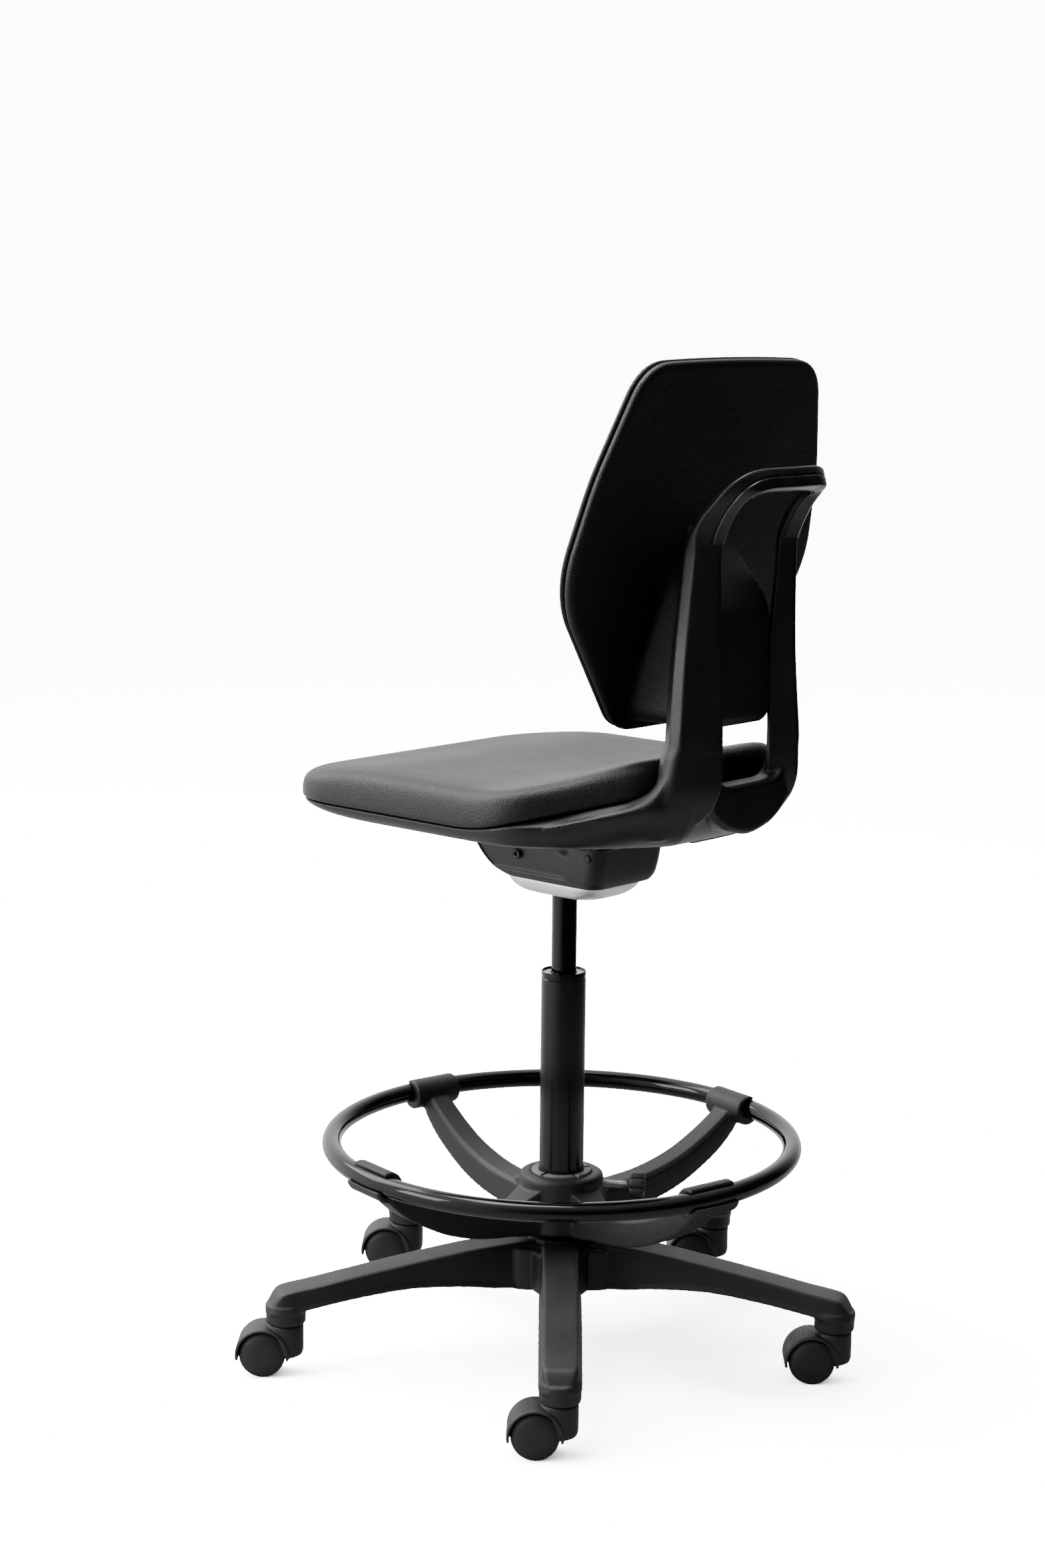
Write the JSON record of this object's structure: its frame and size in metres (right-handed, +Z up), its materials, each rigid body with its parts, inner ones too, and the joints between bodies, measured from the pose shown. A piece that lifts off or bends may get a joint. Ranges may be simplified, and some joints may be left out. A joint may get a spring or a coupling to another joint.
{
  "type": "drafting chair",
  "caption": "Height-adjustable swivel work chair with foam seat and backrest, rear carrying handle, adjustable foot ring and a castor base",
  "frame": {"origin": "middle of the chair's box at floor level", "axes": "+Z up, the sitter faces -Y, +X is the sitter's left"},
  "size_m": [0.6647, 0.6797, 1.1103],
  "materials": {
    "polyamide": "fine-textured satin black glass-filled polyamide",
    "castor_plastic": "matt black moulded plastic",
    "black_lacquer": "high-gloss black lacquer on steel tube",
    "satin_black_steel": "satin black coated steel",
    "zinc_steel": "bright zinc-plated steel",
    "light_metal": "pale brushed metal",
    "seat_foam": "soft integral-skin polyurethane foam with fine grain",
    "grip_rubber": "glossy micro-ribbed rubber",
    "bush_plastic": "light grey moulded plastic"
  },
  "bodies": {
    "base": {"star_base": "polyamide", "castor_stem_1": "zinc_steel", "castor_stem_2": "zinc_steel", "castor_stem_3": "zinc_steel", "castor_stem_4": "zinc_steel", "castor_stem_5": "zinc_steel", "outer_tube": "satin_black_steel", "guide_bush": "castor_plastic", "retaining_ring": "zinc_steel"},
    "castor_1": {"castor_hood_1": "castor_plastic", "castor_axle_1": "zinc_steel"},
    "wheel_1a": {"castor_wheel_1a": "castor_plastic"},
    "wheel_1b": {"castor_wheel_1b": "castor_plastic"},
    "castor_2": {"castor_hood_2": "castor_plastic", "castor_axle_2": "zinc_steel"},
    "wheel_2a": {"castor_wheel_2a": "castor_plastic"},
    "wheel_2b": {"castor_wheel_2b": "castor_plastic"},
    "castor_3": {"castor_hood_3": "castor_plastic", "castor_axle_3": "zinc_steel"},
    "wheel_3a": {"castor_wheel_3a": "castor_plastic"},
    "wheel_3b": {"castor_wheel_3b": "castor_plastic"},
    "castor_4": {"castor_hood_4": "castor_plastic", "castor_axle_4": "zinc_steel"},
    "wheel_4a": {"castor_wheel_4a": "castor_plastic"},
    "wheel_4b": {"castor_wheel_4b": "castor_plastic"},
    "castor_5": {"castor_hood_5": "castor_plastic", "castor_axle_5": "zinc_steel"},
    "wheel_5a": {"castor_wheel_5a": "castor_plastic"},
    "wheel_5b": {"castor_wheel_5b": "castor_plastic"},
    "foot_rest": {"foot_ring": "black_lacquer", "ring_spider": "polyamide", "ring_bush": "bush_plastic"},
    "ring_screw": {"screw_spindle": "zinc_steel", "screw_knob": "polyamide"},
    "swivel": {"piston_rod": "zinc_steel", "thrust_bearing": "zinc_steel"},
    "lift": {"inner_column": "satin_black_steel", "carrier": "satin_black_steel", "lower_plate": "light_metal", "mechanism_housing": "polyamide", "pivot_axle": "zinc_steel", "cover_screw_left": "satin_black_steel", "cover_screw_right": "satin_black_steel", "tilt_spring": "satin_black_steel"},
    "height_lever": {"height_lever": "zinc_steel", "height_paddle": "polyamide"},
    "valve": {"valve_button": "zinc_steel"},
    "tilt_lock": {"tilt_lock_shaft": "satin_black_steel", "tilt_lock_paddle": "polyamide"},
    "seat": {"back_bracket": "polyamide", "handle_grip": "grip_rubber", "seat_cushion": "seat_foam", "tilt_frame": "satin_black_steel", "seat_screw_1": "zinc_steel", "seat_screw_2": "zinc_steel", "seat_screw_3": "zinc_steel", "seat_screw_4": "zinc_steel"},
    "backrest": {"back_shell": "polyamide", "back_cushion": "seat_foam", "back_slider": "polyamide"}
  },
  "joints": [
    {"name": "castor_1_swivel", "type": "hinge", "parent": "base", "child": "castor_1", "pos_m": [0.24182, 0.23709, 0.06], "axis": [0, 0, 1], "continuous": true},
    {"name": "wheel_1a_roll", "type": "hinge", "parent": "castor_1", "child": "wheel_1a", "pos_m": [0.25835, 0.21834, 0.0255], "axis": [0.7501, 0.6613, 0], "continuous": true},
    {"name": "wheel_1b_roll", "type": "hinge", "parent": "castor_1", "child": "wheel_1b", "pos_m": [0.25835, 0.21834, 0.0255], "axis": [0.7501, 0.6613, 0], "continuous": true},
    {"name": "castor_2_swivel", "type": "hinge", "parent": "base", "child": "castor_2", "pos_m": [-0.12242, 0.31584, 0.06], "axis": [0, 0, 1], "continuous": true},
    {"name": "wheel_2a_roll", "type": "hinge", "parent": "castor_2", "child": "wheel_2a", "pos_m": [-0.10589, 0.29709, 0.0255], "axis": [0.7501, 0.6613, 0], "continuous": true},
    {"name": "wheel_2b_roll", "type": "hinge", "parent": "castor_2", "child": "wheel_2b", "pos_m": [-0.10589, 0.29709, 0.0255], "axis": [0.7501, 0.6613, 0], "continuous": true},
    {"name": "castor_3_swivel", "type": "hinge", "parent": "base", "child": "castor_3", "pos_m": [-0.30988, -0.00623, 0.06], "axis": [0, 0, 1], "continuous": true},
    {"name": "wheel_3a_roll", "type": "hinge", "parent": "castor_3", "child": "wheel_3a", "pos_m": [-0.29334, -0.02499, 0.0255], "axis": [0.7501, 0.6613, 0], "continuous": true},
    {"name": "wheel_3b_roll", "type": "hinge", "parent": "castor_3", "child": "wheel_3b", "pos_m": [-0.29334, -0.02499, 0.0255], "axis": [0.7501, 0.6613, 0], "continuous": true},
    {"name": "castor_4_swivel", "type": "hinge", "parent": "base", "child": "castor_4", "pos_m": [-0.06149, -0.28404, 0.06], "axis": [0, 0, 1], "continuous": true},
    {"name": "wheel_4a_roll", "type": "hinge", "parent": "castor_4", "child": "wheel_4a", "pos_m": [-0.04496, -0.30279, 0.0255], "axis": [0.7501, 0.6613, 0], "continuous": true},
    {"name": "wheel_4b_roll", "type": "hinge", "parent": "castor_4", "child": "wheel_4b", "pos_m": [-0.04496, -0.30279, 0.0255], "axis": [0.7501, 0.6613, 0], "continuous": true},
    {"name": "castor_5_swivel", "type": "hinge", "parent": "base", "child": "castor_5", "pos_m": [0.27948, -0.13366, 0.06], "axis": [0, 0, 1], "continuous": true},
    {"name": "wheel_5a_roll", "type": "hinge", "parent": "castor_5", "child": "wheel_5a", "pos_m": [0.29601, -0.15241, 0.0255], "axis": [0.7501, 0.6613, 0], "continuous": true},
    {"name": "wheel_5b_roll", "type": "hinge", "parent": "castor_5", "child": "wheel_5b", "pos_m": [0.29601, -0.15241, 0.0255], "axis": [0.7501, 0.6613, 0], "continuous": true},
    {"name": "foot_ring_slide", "type": "slide", "parent": "base", "child": "foot_rest", "axis": [0, 0, 1], "range_m": [0, 0.19]},
    {"name": "ring_screw_turn", "type": "hinge", "parent": "foot_rest", "child": "ring_screw", "pos_m": [-0.0397, 0.09181, 0.192], "axis": [-0.565, 0.8251, 0], "range_deg": [0, 360]},
    {"name": "seat_swivel", "type": "hinge", "parent": "base", "child": "swivel", "pos_m": [0.0055, 0.0258, 0.1], "axis": [0, 0, 1], "continuous": true},
    {"name": "gas_lift", "type": "slide", "parent": "swivel", "child": "lift", "axis": [0, 0, 1], "range_m": [-0.085, 0.115]},
    {"name": "height_lever_lift", "type": "hinge", "parent": "lift", "child": "height_lever", "pos_m": [-0.0205, 0.0258, 0.5745], "axis": [0, 1, 0], "range_deg": [0, 5], "stiffness_Nm_per_rad": 0.8, "springref_deg": -2.86},
    {"name": "valve_press", "type": "slide", "parent": "lift", "child": "valve", "axis": [0, 0, 1], "range_m": [-0.0025, 0], "stiffness_N_per_m": 200, "springref_m": 0.0005},
    {"name": "tilt_lock_turn", "type": "hinge", "parent": "lift", "child": "tilt_lock", "pos_m": [0.0055, 0.1088, 0.581], "axis": [1, 0, 0], "range_deg": [0, 40]},
    {"name": "seat_tilt", "type": "hinge", "parent": "lift", "child": "seat", "pos_m": [0.0055, 0.0048, 0.572], "axis": [-1, 0, 0], "range_deg": [-2, 7], "stiffness_Nm_per_rad": 400, "deforming": ["tilt_spring"]},
    {"name": "backrest_height", "type": "slide", "parent": "seat", "child": "backrest", "axis": [0, 0, 1], "range_m": [0, 0.06]}
  ],
  "couplings": [
    {"joint": "valve_press", "follows": "height_lever_lift", "m_per_rad": -0.026}
  ]
}
